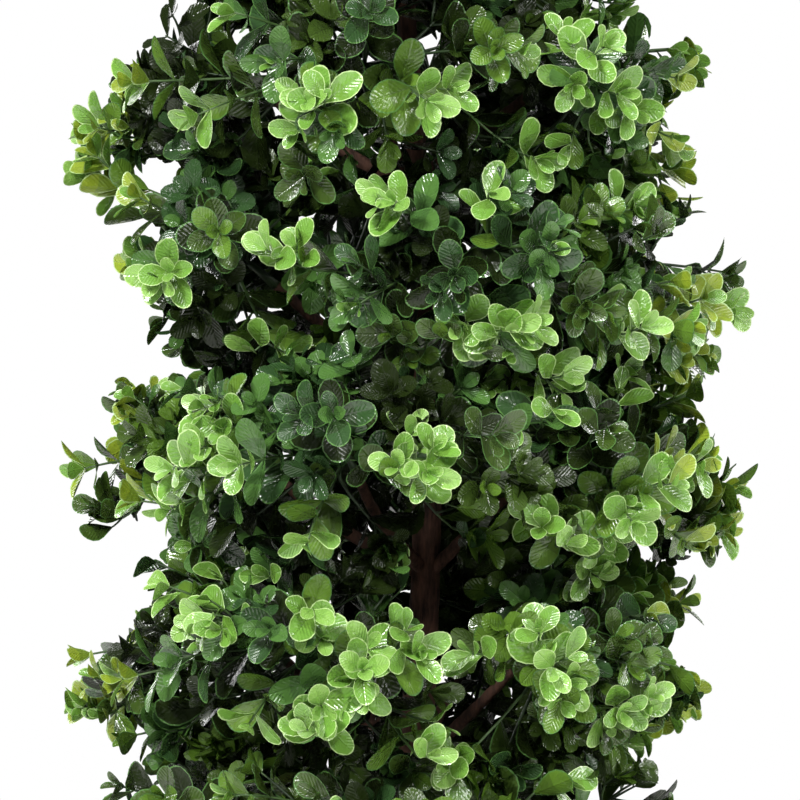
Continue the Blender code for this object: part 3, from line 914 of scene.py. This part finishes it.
def leaf_template(rimmed, width, cup, recurve):
    """A leaf of length 1 along X, face up, from a grid whose rows bend between outline and midrib."""
    edges, middles = OUTER_ROWS if rimmed else INNER_ROWS
    rows = len(edges) - 1
    bm = bmesh.new()
    bmesh.ops.create_grid(bm, x_segments=rows, y_segments=4 if rimmed else 2, size=1)
    rim_faces = set()
    shaded_heart_faces = set()
    if rimmed:
        inside = {vert for vert in bm.verts if abs(vert.co.y) < 0.6 and vert.co.x < 0.9}
        rim_faces = {face for face in bm.faces if not set(face.verts) <= inside}
        # The foot of the blade is its heart, painted in shade
        foot = {vert for vert in inside if vert.co.x < 0.1}
        shaded_heart_faces = {face for face in bm.faces if set(face.verts) <= foot}
    for vert in bm.verts:
        row = round((vert.co.x + 1) / 2 * rows)
        off = abs(vert.co.y)
        along = between(middles[row], edges[row], off**2)
        side = 0.0
        if off > 0.1:
            inset = LEAF_RIM if rimmed and off < 0.9 and row < rows else 0
            side = math.copysign(max(half_width(along) - inset, 0.04), vert.co.y)
        up = cup * side * side - recurve * along**2 + 0.02 * abs(side)
        vert.co = (along, width / 2 * side, up)
    bmesh.ops.recalc_face_normals(bm, faces=bm.faces)
    if sum(face.normal.z for face in bm.faces) < 0:
        bmesh.ops.reverse_faces(bm, faces=bm.faces)
    return Template(bm, lambda co: (co.x, 0.5 + co.y / width), rim_faces, shaded_heart_faces)


def twig_template(sides, rings):
    """A closed tube of radius 1 along Z, with evenly spaced rings from 0 to 1."""
    bm = bmesh.new()
    bmesh.ops.create_cone(bm, cap_ends=True, segments=sides, radius1=1, radius2=1, depth=1)
    upright = [e for e in bm.edges if abs(e.verts[0].co.z - e.verts[1].co.z) > 0.5]
    bmesh.ops.subdivide_edges(bm, edges=upright, cuts=rings - 2)
    bmesh.ops.translate(bm, vec=(0, 0, 0.5), verts=bm.verts)
    return Template(bm, lambda co: (co.z, angle_of(co) / math.tau + 0.5))


def frames_along(path, radii):
    """One matrix for each point of a path: its place, a twist-free turn and the radius as scale."""
    steps = [b - a for a, b in zip(path, path[1:])]
    ways = [steps[0]] + [a + b for a, b in zip(steps, steps[1:])] + [steps[-1]]
    turn = UP.rotation_difference(ways[0])
    frames = []
    for i, (point, radius) in enumerate(zip(path, radii)):
        if i:
            turn = ways[i - 1].rotation_difference(ways[i]) @ turn
        frames.append(Matrix.LocRotScale(point, turn, Vector((radius, radius, radius))))
    return frames


def add_twig(bundle, twig, templates):
    """Adds the twig's stem, old at its foot and young at its tip."""
    rings = len(twig.path)
    template = templates[rings]
    radii = [between(*twig.radii, share) for share in even_shares(rings)]
    frames = np.array(frames_along(twig.path, radii))
    ring = np.rint(template.points[:, 2] * (rings - 1)).astype(int)
    flat = template.points.copy()
    flat[:, 2] = 0
    points = np.einsum("nij,nj->ni", frames[ring, :3, :3], flat) + frames[ring, :3, 3]
    middle = template.points[template.quads][:, :, 2].mean(axis=1)
    young = middle > 0.25 + 0.3 * min(twig.age, 2.4)
    bundle.add(points, template, young.astype(int))


def leaf_slots(age, place, cool, rule):
    """(blade, rim, heart) material slots of a leaf of this age: lime first, then ever darker.

    The darkest kind and the heart are painted shade, backlit olive is painted backlight, and the rim is
    partly a painted edge highlight.
    """
    kind = sum(age > step for step in KIND_AGES)
    # Young leaves far out at the sides take backlit olive, painted light shining through them
    if kind < 3 and abs(place.x) > BACKLIT_FROM and rule.random() < BACKLIT_SHARE:
        kind = BACKLIT_OLIVE
    elif cool and kind in (2, 3):
        kind += TO_COOL
    count = len(LEAF_KINDS)
    return kind, 2 * count + (kind not in YOUNG_KINDS), count + kind


def main_shoots(mass, fork, stem_way, settings):
    """The shoots that the solids have, each with one bend, drawn out a little at their tips."""
    shoots = []
    for target in mass.targets():
        bend = between(fork, target, 0.5) + stem_way * 0.008
        path = curve_points(fork, bend, target, SHOOT_POINTS)
        if all(mass.holds(point) for point in path[3:]):
            shoots.append(Twig(path, (settings.shoot_radius, settings.tip_radius), 0, MAIN_BARE))
    return shoots


def branch_towards(shoots, target, settings, rule):
    """A further shoot that forks from the main shoot with the nearest tip and ends at the target."""
    parent = min(shoots, key=lambda shoot: (shoot.path[-1] - target).length)
    place, way = parent.at(rule.uniform(0.02, 0.3))
    swing = Vector((rule.uniform(-0.25, 0.25), rule.uniform(-0.25, 0.25), 0))
    end_way = (outwards(target, rule.uniform(-0.15, 0.6)) + swing).normalized()
    path = arching(place, way, target, end_way, SHOOT_POINTS)
    return Twig(path, (settings.shoot_radius, settings.tip_radius), 0, FURTHER_BARE)


def front_targets(mass):
    """Where the bright sprays on the front have their tips, for those that this mass holds."""
    for x, z in FRONT_SPRAYS:
        for deep in range(10, 60, 3):
            y = -math.sqrt(max(FRONT_RADIUS**2 - x * x, 0)) + deep * 0.001
            target = Vector((x, y, z))
            if mass.holds(target + outwards(target, 0) * FRONT_ROOM):
                if mass.owns(target):
                    yield target
                break


def sprays_of(mass, fork, stem_way, settings):
    """All the twigs of a mass."""
    rule = mass.finer
    shoots = main_shoots(mass, fork, stem_way, settings)
    bright = [branch_towards(shoots, target, settings, rule) for target in front_targets(mass)]
    for shoot in shoots:
        shoot.age = age_of_spray(False, rule)
        shoot.fullness = fullness_at(shoot.path[-1], False)
    others = list(shoots)
    for target, deep in further_tips(mass, [shoot.path[-1] for shoot in shoots + bright]):
        shoot = branch_towards(shoots, target, settings, rule)
        # A deeper shoot is made older, which paints shade into the crown's depth
        shoot.age = age_of_spray(deep, rule)
        shoot.hidden = deep
        shoot.fullness = fullness_at(target, deep)
        others.append(shoot)
    for x, z in SHADE_SPRAYS:
        target = Vector((x, SHADE_BACK, z))
        if mass.owns(target):
            shoot = branch_towards(shoots, target, settings, rule)
            # The shade sprays take the darkest greens as painted shade
            shoot.age = PAINTED_SHADE_AGE
            shoot.hidden = True
            others.append(shoot)
    twigs = []
    for shoot in bright + others:
        own = random.Random(rule.random())
        shoot.cool = own.random() < 0.5
        twigs += spray_twigs(mass, shoot, settings, own)
    for x, z in SIDE_SPRAYS:
        target = Vector((x, 0, z))
        if mass.owns(target):
            own = random.Random(f"side spray {x} {z}")
            shoot = branch_towards(shoots, target, settings, own)
            shoot.age = age_of_spray(False, own)
            shoot.free = True
            twigs += spray_twigs(mass, shoot, settings, own)
    return twigs


def fit_leaf(holds, root, axis, turn, length, spread, age, rule):
    """The leaf as (root, basis, length, age), turned or made smaller until its space holds it, or None."""
    for smaller, twist in FITS:
        side = side_at(axis, turn + twist)
        out = axis * math.cos(spread) + side * math.sin(spread)
        face = axis * math.sin(spread) - side * math.cos(spread)
        across = face.cross(out)
        size = length * smaller
        middle = root + out * size * 0.6
        wide = across * size * 0.3
        marks = (root + out * size, middle + wide, middle - wide)
        if all(holds(point) and not in_passage(point) for point in marks):
            # A slight roll, so that no two leaves of a pair lie alike
            roll = Matrix.Rotation(rule.uniform(-0.3, 0.3), 3, out)
            return root, np.array([out, roll @ across, roll @ face]), size, age
    return None


def foliage_of(mass, leaves, twigs, templates, settings):
    """Adds the twigs and leaves of a mass to its ring's bundles. A twig with a bare tip is left out."""
    start, way = mass.foot()
    fork = start + way * STEM_LENGTH
    radii = (BOUGH_RADII[-1], settings.twig.shoot_radius * 1.4)
    add_twig(twigs, Twig([start, between(start, fork, 0.5), fork], radii, 3, 1), templates["tube"])
    for twig in sprays_of(mass, fork, way, settings.twig):
        rule = random.Random(twig.seed)
        holds = in_open_air if twig.free else mass.holds
        fitted = [fit_leaf(holds, *leaf, rule) for leaf in list(leaves_on(twig, settings.leaf, rule))]
        if sum(leaf is not None for leaf in fitted[:4]) < 2:
            continue
        add_twig(twigs, twig, templates["tube"])
        kinds = templates["inner"] if twig.hidden else templates["outer"]
        for root, basis, size, age in filter(None, fitted):
            slots = leaf_slots(age, root, twig.cool, rule)
            template = rule.choice(kinds)
            points = template.points @ (basis * size) + np.array(root)
            leaves.add(points, template, np.choose(template.marks, slots))


# Objects


def placed(name, data):
    """The mesh, light or camera as an object in the scene."""
    made = bpy.data.objects.new(name, data)
    bpy.context.scene.collection.objects.link(made)
    return made


def linked(name, mesh):
    """The mesh as an object in the scene that rides on the part's one body."""
    made = placed(name, mesh)
    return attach(made, "root")


def mesh_of(name, bm, materials=()):
    """The bmesh as a mesh."""
    mesh = bpy.data.meshes.new(name)
    bm.to_mesh(mesh)
    bm.free()
    for surface in materials:
        mesh.materials.append(surface)
    return mesh


def finished(name, bm, material, smooth_angle):
    """The bmesh as an object in the scene, with faces that point outwards."""
    bm.normal_update()
    bmesh.ops.recalc_face_normals(bm, faces=bm.faces)
    mesh = mesh_of(name, bm, [material])
    mesh.shade_smooth()
    mesh.set_sharp_from_angle(angle=math.radians(smooth_angle))
    return linked(name, mesh)


# Limbs, pot and fill


def limb_mesh(path, radii, sides):
    """A closed tapering tube along a path, as a bmesh."""
    frames = frames_along(path, radii)
    bm = bmesh.new()
    bmesh.ops.create_cone(bm, cap_ends=True, segments=sides, radius1=1, radius2=1, depth=2)
    lower = [v for v in bm.verts if v.co.z < 0]
    upper = [v for v in bm.verts if v.co.z > 0]
    bmesh.ops.transform(bm, matrix=frames[0] @ Matrix.Translation(UP), verts=lower)
    bmesh.ops.transform(bm, matrix=frames[1] @ Matrix.Translation(-UP), verts=upper)
    ends = set(upper)
    end = next(face for face in bm.faces if set(face.verts) == ends)
    for before, after in zip(frames[1:], frames[2:]):
        end = bmesh.ops.extrude_discrete_faces(bm, faces=[end])["faces"][0]
        bmesh.ops.transform(bm, matrix=after @ before.inverted(), verts=end.verts)
    return bm


def roughen(bm, path, depth, wrap, pitch):
    """Raises the skin of a limb: long fissures, and the ridge of a strip wound round it."""
    for vert in bm.verts:
        near = min(path, key=lambda point: (point - vert.co).length_squared)
        out = vert.co - near
        if out.length < 1e-6:
            continue
        # Fissures about 4 mm apart and 18 mm long, with finer ones between them
        stretched = Vector((vert.co.x * 260, vert.co.y * 260, vert.co.z * 55))
        fissure = noise.noise(stretched) + 0.5 * noise.noise(stretched * 2.3)
        wound = (vert.co.z / pitch + angle_of(out) / math.tau) % 1
        vert.co += out.normalized() * (depth * fissure + wrap * wound**3)


def fine_path(path, count):
    """The path with count points, evenly spaced along a smooth curve through its points."""
    points = []
    for share in even_shares(count):
        place = share * (len(path) - 1)
        j = min(int(place), len(path) - 2)
        t = place - j
        a = path[max(j - 1, 0)]
        b, c = path[j], path[j + 1]
        d = path[min(j + 2, len(path) - 1)]
        points.append(
            (b * 2 + (c - a) * t + (a * 2 - b * 5 + c * 4 - d) * t**2 + (b * 3 - a - c * 3 + d) * t**3) / 2
        )
    return points


def spread(values, count):
    """The values drawn out to count values, evenly."""
    places = np.linspace(0, len(values) - 1, count)
    return [float(value) for value in np.interp(places, range(len(values)), values)]


def foot_radius(name, height):
    """The greatest radius of a solid below this height."""
    points = [v.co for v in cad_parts[name].data.vertices]
    return max(radius_of(point) for point in points if point.z < height)


def drawn(profile):
    """A line through the (radius, height) points of a profile, as a bmesh."""
    bm = bmesh.new()
    points = [bm.verts.new((radius, 0, height)) for radius, height in profile]
    for pair in zip(points, points[1:]):
        bm.edges.new(pair)
    return bm


def turn_round(bm, steps):
    """Turns a line into a closed skin."""
    bmesh.ops.spin(
        bm, geom=bm.verts[:] + bm.edges[:], cent=(0, 0, 0), axis=(0, 0, 1),
        angle=math.tau, steps=steps, use_merge=True,
    )
    bmesh.ops.remove_doubles(bm, verts=bm.verts, dist=1e-6)


class MakePot(bpy.types.Operator):
    """Makes the moulded pot: wall, rim band and rounded edges, turned from the frame's own sizes"""

    bl_idname = "boxwood.pot"
    bl_label = "Pot"

    def execute(self, context):
        settings = context.scene.boxwood.pot
        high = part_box("pot")[1]
        rim, top = high.x, high.z
        foot = foot_radius("pot", 0.001) + 0.002
        slope = (rim - BAND_DRAFT - STEP - foot) / (top - BAND)
        under = foot + slope * (top - BAND)
        # The underside is 1.2 mm hollow inside its standing ring, and the floor is 5 mm up.
        bm = drawn((
            (0, 0.0012), (foot - 0.010, 0.0012), (foot - 0.008, 0), (foot, 0), (under, top - BAND),
            (under + STEP, top - BAND + 0.002), (rim, top), (rim - WALL, top),
            (foot + slope * (top - 0.002) - WALL, top - 0.004),
            (foot + slope * 0.005 - WALL, 0.005), (0, 0.005),
        ))
        bmesh.ops.bevel(
            bm, geom=bm.verts[:][2:-2], offset=settings.rounding, offset_type="OFFSET", affect="VERTICES",
            segments=3, profile=0.5, material=-1,
        )
        turn_round(bm, settings.steps)
        pot = finished("pot_moulded", bm, pot_plastic(settings.plastic), 40)
        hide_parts("pot")
        return {"FINISHED"}


class MakeFill(bpy.types.Operator):
    """Makes the potting fill: an uneven top, with crumbs and chips scattered over it"""

    bl_idname = "boxwood.fill"
    bl_label = "Potting fill"

    def execute(self, context):
        settings = context.scene.boxwood.pot
        low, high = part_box("pot_fill")
        edge = high.x
        half = between(FILL_SEAT_RADIUS, edge, 0.5)
        bm = drawn((
            (0, low.z), (foot_radius("pot_fill", 0.01), low.z), (edge, high.z - FILL_FALL),
            (half, high.z - FILL_FALL / 3), (FILL_SEAT_RADIUS, high.z), (0, high.z),
        ))
        bmesh.ops.subdivide_edges(bm, edges=bm.edges[:][2:], cuts=9)
        turn_round(bm, FILL_STEPS)
        for vert in bm.verts:
            if vert.co.z > high.z - FILL_FALL * 1.2 and vert.co.xy.length < edge - 0.002:
                # Bumps about 6 mm and 2 mm across
                bumps = noise.noise(vert.co * 160) + 0.5 * noise.noise(vert.co * 420)
                vert.co.z += 0.0013 * bumps - 0.0008
        dark = fill_mix("loose potting fill", settings.soil, settings.chip)
        surface = finished("pot_fill_top", bm, dark, 60)
        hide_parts("pot_fill")
        self.scatter(settings, edge, high.z, dark)
        return {"FINISHED"}

    def scatter(self, settings, edge, top, dark):
        """Crumbs about 2 to 9 mm long, half sunk in the fill, joined into one mesh."""
        rule = random.Random("crumbs")
        bm = bmesh.new()
        bmesh.ops.create_cube(bm, size=1)
        bmesh.ops.bevel(
            bm, geom=bm.edges[:], offset=0.22, affect="EDGES", segments=1, profile=0.5, material=-1,
        )
        bmesh.ops.triangulate(bm, faces=[face for face in bm.faces if len(face.verts) > 4])
        corners = np.array([v.co for v in bm.verts])
        bm.verts.index_update()
        faces = [[v.index for v in face.verts] for face in bm.faces]
        bm.free()
        points = []
        joined = []
        slots = []
        for _ in range(settings.crumbs):
            radius = (edge - 0.004) * math.sqrt(rule.random())
            if radius < TRUNK_FOOT_RADIUS + 0.009:
                continue
            turn = rule.uniform(0, math.tau)
            fall = FILL_FALL * max(0, (radius - FILL_SEAT_RADIUS) / (edge - FILL_SEAT_RADIUS)) ** 1.3
            size = rule.uniform(*CRUMB_SIZES)
            stretch = Vector((size * rule.uniform(0.9, 1.9), size * rule.uniform(0.7, 1.1), size * 0.7))
            spin = Matrix.Rotation(rule.uniform(0, math.tau), 3, "Z")
            tip = Matrix.Rotation(rule.uniform(-0.5, 0.5), 3, "X")
            place = around(turn, radius, top - fall + size * 0.12)
            basis = np.array(spin @ tip @ Matrix.Diagonal(stretch))
            start = len(points) * len(corners)
            points.append(corners @ basis.T + np.array(place))
            joined += [[index + start for index in face] for face in faces]
            slots += [int(rule.random() < CHIP_SHARE)] * len(faces)
        pale = fill_mix("bark chips", settings.chip, settings.soil)
        mesh = array_mesh("pot_fill_crumbs", points, joined, slots, [dark, pale])
        crumbs = linked("pot_fill_crumbs", mesh)


class MakeTrunk(bpy.types.Operator):
    """Makes the trunk with its flare and its bark's relief"""

    bl_idname = "boxwood.trunk"
    bl_label = "Trunk"

    def execute(self, context):
        settings = context.scene.boxwood.bark
        low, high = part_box("trunk")
        # The rings are closer together at the flare.
        heights = [between(low.z, high.z, share**1.15) for share in even_shares(TRUNK_RINGS + 1)]
        path = [trunk_middle(height) for height in heights]
        radii = [trunk_radius(height) - settings.relief * 0.4 for height in heights]
        bm = limb_mesh(path, radii, TRUNK_SIDES)
        roughen(bm, path, settings.relief, 0.0, settings.pitch)
        for vert in bm.verts:
            vert.co.z = max(vert.co.z, low.z)
        bark = wrapped_bark("stained trunk bark", settings.ridge, settings.furrow)
        trunk = finished("trunk_bark", bm, bark, 70)
        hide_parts("trunk")
        return {"FINISHED"}


class MakeBoughs(bpy.types.Operator):
    """Makes the boughs of each ring, wrapped limbs that leave the trunk and end where a mass begins"""

    bl_idname = "boxwood.boughs"
    bl_label = "Boughs"

    def execute(self, context):
        settings = context.scene.boxwood.bark
        bark = wrapped_bark("wrapped bough bark", settings.ridge, settings.furrow)
        for ring in range(RINGS):
            joined = bmesh.new()
            names = []
            for number in range(MASSES_IN_RING):
                mass = Mass(ring, number)
                path = fine_path(mass.bough_path(), BOUGH_POINTS)
                radii = [r - settings.wrap * 0.5 for r in spread(BOUGH_RADII, len(path))]
                bm = limb_mesh(path, radii, BOUGH_SIDES)
                roughen(bm, path, settings.relief * 0.35, settings.wrap, settings.pitch)
                held = mesh_of("bough", bm)
                joined.from_mesh(held)
                bpy.data.meshes.remove(held)
                names.append(f"bough_{mass.name}")
            boughs = finished(f"boughs_{ring + 1}", joined, bark, 60)
            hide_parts(*names)
        return {"FINISHED"}


class MakeFoliage(bpy.types.Operator):
    """Makes the sprays of every mass: twigs and leaves, each kind joined by ring"""

    bl_idname = "boxwood.foliage"
    bl_label = "Foliage"

    def execute(self, context):
        settings = context.scene.boxwood
        templates = self.templates(settings.leaf)
        greens = self.greens(settings.leaf)
        stems = [
            stem_plastic("moulded old stem", settings.twig.stem),
            stem_plastic("moulded young stem", settings.twig.young),
        ]
        groups = {str(ring + 1): [Mass(ring, n) for n in range(MASSES_IN_RING)] for ring in range(RINGS)}
        groups["top"] = [TopTuft()]
        for label, masses in groups.items():
            leaves = Bundle()
            twigs = Bundle()
            for mass in masses:
                foliage_of(mass, leaves, twigs, templates, settings)
            nodes = [f"foliage_{mass.name}" for mass in masses]
            for kind, bundle, surfaces in (("leaves", leaves, greens), ("twigs", twigs, stems)):
                piece = linked(f"{kind}_{label}", bundle.mesh(f"{kind}_{label}", surfaces))
                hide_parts(*nodes)
        return {"FINISHED"}

    def templates(self, leaf):
        """The outer and inner leaves and the twigs, as arrays."""
        outer = [
            leaf_template(True, leaf.width * width, leaf.cup * cup, leaf.recurve * recurve)
            for width, cup, recurve in OUTER_LEAVES
        ]
        inner = [leaf_template(False, leaf.width, leaf.cup, leaf.recurve)]
        # Tubes with as many rings as the paths of stems, side twigs and shoots have points
        tube = {rings: twig_template(TWIG_SIDES, rings) for rings in (3, SIDE_POINTS, SHOOT_POINTS)}
        return {"outer": outer, "inner": inner, "tube": tube}

    def greens(self, leaf):
        """The leaf materials: the blades of each kind, their hearts in painted shade, and the two rims.

        The rims are partly the moulding's pale edge and partly a painted edge highlight.
        """
        blades = []
        shaded_hearts = []
        for (kind, gloss, sheen), towards in zip(LEAF_KINDS, SHADED_HEART_TOWARDS):
            name = kind.replace("_", " ")
            base = getattr(leaf, kind)
            other = getattr(leaf, LEAF_KINDS[towards][0])
            # The heart is painted shade: half way to a darker kind
            shaded_heart = [between(a, b, 0.5) for a, b in zip(base, other)]
            blades.append(leaf_plastic(f"moulded leaf {name}", base, gloss, sheen))
            shaded_hearts.append(leaf_plastic(f"moulded heart {name}", shaded_heart, gloss, sheen))
        return blades + shaded_hearts + [
            # Rims: partly the moulding's pale edge, partly a painted edge highlight
            leaf_plastic("moulded rim pale", leaf.young_rim_and_edge_sheen, 0.24, 0.6),
            leaf_plastic("moulded rim green", leaf.old_rim_and_edge_sheen, 0.20, 0.6),
        ]


class MakeStage(bpy.types.Operator):
    """Makes the floor, the soft lights and the camera"""

    bl_idname = "boxwood.stage"
    bl_label = "Stage"

    def execute(self, context):
        scene = context.scene
        settings = scene.boxwood.stage
        bm = bmesh.new()
        bmesh.ops.create_circle(bm, cap_ends=True, segments=128, radius=FLOOR_RADIUS)
        floor = placed("floor", mesh_of("floor", bm, [floor_paint(settings.floor)]))
        self.world(scene, settings.ambient)
        aim = Vector((0, 0, settings.height))
        for name, (place, size, power) in LAMPS.items():
            self.lamp(name, Vector(place), aim, size, power)
        scene.view_settings.view_transform = "Standard"
        data = bpy.data.cameras.new("camera")
        data.sensor_width = SENSOR
        data.lens = SENSOR * settings.distance / settings.framed
        data.clip_end = 50
        camera = placed("camera", data)
        camera.location = (0, -settings.distance, settings.height)
        camera.rotation_euler = (math.pi / 2, 0, 0)
        scene.camera = camera
        return {"FINISHED"}

    def world(self, scene, ambient):
        """White all round: the camera sees full white, and the light on the part is brightest above."""
        scene.world = bpy.data.worlds.new("studio")
        scene.world.use_nodes = True
        tree = scene.world.node_tree
        rays = add_node(tree, "LightPath", {})
        way = add_node(tree, "TexCoord", {})
        parts = add_node(tree, "SeparateXYZ", {0: way.outputs["Generated"]})
        dome = add_node(
            tree, "MapRange", {0: parts.outputs["Z"], 1: -0.1, 2: 0.9, 3: ambient * 0.5, 4: ambient * 2.2},
            interpolation_type="SMOOTHSTEP",
        )
        strength = add_node(tree, "MapRange", {0: rays.outputs["Is Camera Ray"], 3: dome, 4: 1.0})
        feed(tree.nodes["Background"], {"Color": (1, 1, 1, 1), "Strength": strength})

    def lamp(self, name, place, aim, size, power):
        """A large soft square light that faces the aim."""
        data = bpy.data.lights.new(name, "AREA")
        data.size = size
        data.energy = power
        lamp = placed(name, data)
        lamp.location = place
        lamp.rotation_euler = (aim - place).to_track_quat("-Z", "Y").to_euler()
        lamp.visible_camera = False


class BoxwoodPanel(bpy.types.Panel):
    """Lists the pieces and their settings"""

    bl_idname = "BOXWOOD_PT_column"
    bl_label = "Boxwood column"
    bl_space_type = "VIEW_3D"
    bl_region_type = "UI"
    bl_category = "Boxwood"

    def draw(self, context):
        settings = context.scene.boxwood
        for name in ("pot", "bark", "twig", "leaf", "stage"):
            box = self.layout.box()
            group = getattr(settings, name)
            for key in group.__annotations__:
                box.prop(group, key)
        for operator in OPERATORS:
            self.layout.operator(operator.bl_idname)


GROUPS = (LeafSettings, TwigSettings, BarkSettings, PotSettings, StageSettings, BoxwoodSettings)
OPERATORS = (MakePot, MakeFill, MakeTrunk, MakeBoughs, MakeFoliage, MakeStage)


def register():
    for kind in (*GROUPS, *OPERATORS, BoxwoodPanel):
        bpy.utils.register_class(kind)
    bpy.types.Scene.boxwood = bpy.props.PointerProperty(type=BoxwoodSettings)


def unregister():
    del bpy.types.Scene.boxwood
    for kind in reversed((*GROUPS, *OPERATORS, BoxwoodPanel)):
        bpy.utils.unregister_class(kind)


def main():
    register()
    bpy.ops.boxwood.pot()
    bpy.ops.boxwood.fill()
    bpy.ops.boxwood.trunk()
    bpy.ops.boxwood.boughs()
    bpy.ops.boxwood.foliage()
    bpy.ops.boxwood.stage()


if __name__ == "__main__":
    main()
